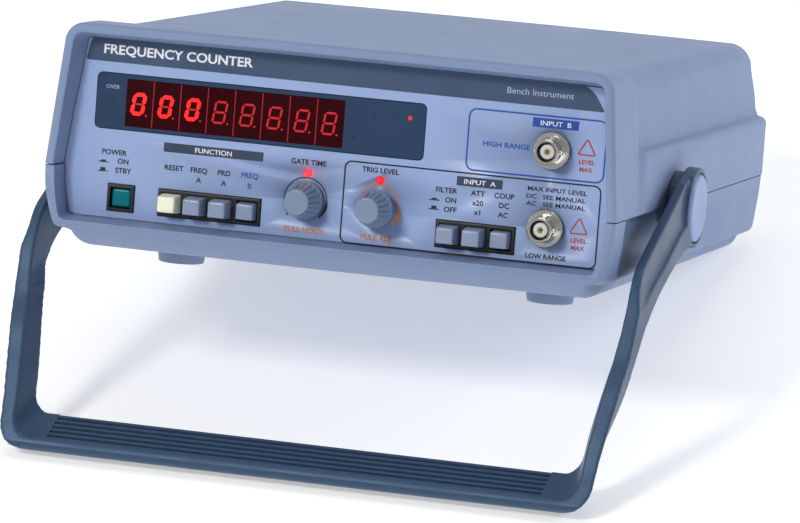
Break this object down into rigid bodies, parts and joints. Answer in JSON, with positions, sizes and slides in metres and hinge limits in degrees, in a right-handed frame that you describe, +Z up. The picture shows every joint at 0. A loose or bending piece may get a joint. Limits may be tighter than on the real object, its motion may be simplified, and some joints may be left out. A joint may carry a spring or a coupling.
{
  "type": "frequency counter",
  "caption": "Bench frequency counter in a clamshell case, leaning back on its tilting carrying handle, with LED digits, push buttons, pull knobs and bayonet inputs.",
  "frame": {"origin": "middle of the bounding box at floor level, in the leaning pose on handle grip and rear feet", "axes": "+X to the right seen from the front, +Y from the front panel to the rear, +Z up; the case leans back 16.5 degrees about X"},
  "size_m": [0.2518, 0.3116, 0.1562],
  "materials": {
    "case": "fine spark-eroded grain, satin",
    "panel": "satin moulded plastic",
    "overlay": "printed polycarbonate film, semi-gloss",
    "window": "smoked navy acrylic, gloss",
    "handle": "satin moulded plastic, fine grain",
    "hub_cap": "satin moulded plastic",
    "hub": "satin moulded plastic",
    "black_plastic": "satin black moulded plastic",
    "led": "diffused red lens",
    "button_teal": "polished",
    "button_cream": "satin",
    "button_grey": "satin",
    "knob": "satin, fluted",
    "steel": "plated sheet and turned steel",
    "nickel": "bright nickel plate",
    "insulator": "white fluoropolymer",
    "contact": "gold flash on brass",
    "rubber_foot": "soft grey-blue rubber",
    "circuit_board": "glass epoxy with solder mask",
    "winding": "enamelled copper wire under tape"
  },
  "bodies": {
    "case_body": {"bnc_a_contact": "contact", "bnc_a_insulator": "insulator", "bnc_a_shell": "nickel", "bnc_b_contact": "contact", "bnc_b_insulator": "insulator", "bnc_b_shell": "nickel", "case_screw_1": "steel", "case_screw_2": "steel", "case_screw_3": "steel", "case_screw_4": "steel", "digit_block_left": "black_plastic", "digit_block_right": "black_plastic", "display_board": "circuit_board", "display_window": "window", "foot_front_left": "rubber_foot", "foot_front_right": "rubber_foot", "foot_rear_left": "rubber_foot", "foot_rear_right": "rubber_foot", "front_overlay": "overlay", "front_panel": "panel", "function_button_frame": "black_plastic", "function_switch_body": "black_plastic", "gate_led": "led", "gate_pot": "steel", "input_button_frame": "black_plastic", "input_switch_body": "black_plastic", "lower_shell": "case", "main_board": "circuit_board", "overflow_led": "led", "pivot_hub_left": "hub", "pivot_hub_right": "hub", "power_button_frame": "black_plastic", "power_inlet": "black_plastic", "power_switch_body": "black_plastic", "rear_panel": "steel", "rf_shield_can": "steel", "transformer_core": "steel", "transformer_winding": "winding", "trigger_led": "led", "trigger_pot": "steel", "unit_led_bar": "black_plastic", "upper_shell": "case"},
    "handle_body": {"handle": "handle", "hub_cap_left": "hub_cap", "hub_cap_right": "hub_cap"},
    "gate_plunger_body": {"gate_pull_plunger": "steel"},
    "gate_knob_body": {"gate_knob": "knob", "gate_shaft": "steel"},
    "trigger_plunger_body": {"trigger_pull_plunger": "steel"},
    "trigger_knob_body": {"trigger_knob": "knob", "trigger_shaft": "steel"},
    "fuse_drawer_body": {"fuse_drawer": "black_plastic"},
    "power_button_body": {"power_button": "button_teal"},
    "reset_button_body": {"reset_button": "button_cream"},
    "freq_a_button_body": {"freq_a_button": "button_grey"},
    "period_a_button_body": {"period_a_button": "button_grey"},
    "freq_b_button_body": {"freq_b_button": "button_grey"},
    "lowpass_button_body": {"lowpass_button": "button_grey"},
    "attenuator_button_body": {"attenuator_button": "button_grey"},
    "coupling_button_body": {"coupling_button": "button_grey"}
  },
  "joints": [
    {"name": "handle_tilt", "type": "hinge", "parent": "case_body", "child": "handle_body", "pos_m": [0, -0.01437, 0.07533], "axis": [-1, 0, 0], "range_deg": [-100, 197]},
    {"name": "power_button_release", "type": "slide", "parent": "case_body", "child": "power_button_body", "axis": [0, -0.9587, 0.2843], "range_m": [0, 0.0035]},
    {"name": "reset_button_press", "type": "slide", "parent": "case_body", "child": "reset_button_body", "axis": [0, 0.9587, -0.2843], "range_m": [0, 0.0035], "stiffness_N_per_m": 400, "springref_m": -0.0015},
    {"name": "freq_a_button_press", "type": "slide", "parent": "case_body", "child": "freq_a_button_body", "axis": [0, 0.9587, -0.2843], "range_m": [0, 0.0035], "stiffness_N_per_m": 400, "springref_m": -0.0015},
    {"name": "period_a_button_press", "type": "slide", "parent": "case_body", "child": "period_a_button_body", "axis": [0, 0.9587, -0.2843], "range_m": [0, 0.0035], "stiffness_N_per_m": 400, "springref_m": -0.0015},
    {"name": "freq_b_button_release", "type": "slide", "parent": "case_body", "child": "freq_b_button_body", "axis": [0, -0.9587, 0.2843], "range_m": [0, 0.0035]},
    {"name": "lowpass_button_press", "type": "slide", "parent": "case_body", "child": "lowpass_button_body", "axis": [0, 0.9587, -0.2843], "range_m": [0, 0.0035], "stiffness_N_per_m": 400, "springref_m": -0.0015},
    {"name": "attenuator_button_press", "type": "slide", "parent": "case_body", "child": "attenuator_button_body", "axis": [0, 0.9587, -0.2843], "range_m": [0, 0.0035], "stiffness_N_per_m": 400, "springref_m": -0.0015},
    {"name": "coupling_button_release", "type": "slide", "parent": "case_body", "child": "coupling_button_body", "axis": [0, -0.9587, 0.2843], "range_m": [0, 0.0035]},
    {"name": "gate_knob_pull", "type": "slide", "parent": "case_body", "child": "gate_plunger_body", "axis": [0, -0.9587, 0.2843], "range_m": [0, 0.004]},
    {"name": "gate_knob_turn", "type": "hinge", "parent": "gate_plunger_body", "child": "gate_knob_body", "pos_m": [-0.0113, -0.10468, 0.09794], "axis": [0, -0.9587, 0.2843], "range_deg": [-150, 150]},
    {"name": "trigger_knob_push", "type": "slide", "parent": "case_body", "child": "trigger_plunger_body", "axis": [0, 0.9587, -0.2843], "range_m": [0, 0.004]},
    {"name": "trigger_knob_turn", "type": "hinge", "parent": "trigger_plunger_body", "child": "trigger_knob_body", "pos_m": [0.018, -0.10468, 0.09794], "axis": [0, -0.9587, 0.2843], "range_deg": [-150, 150]},
    {"name": "fuse_drawer_slide", "type": "slide", "parent": "case_body", "child": "fuse_drawer_body", "axis": [0, 0.9587, -0.2843], "range_m": [0, 0.018]}
  ]
}
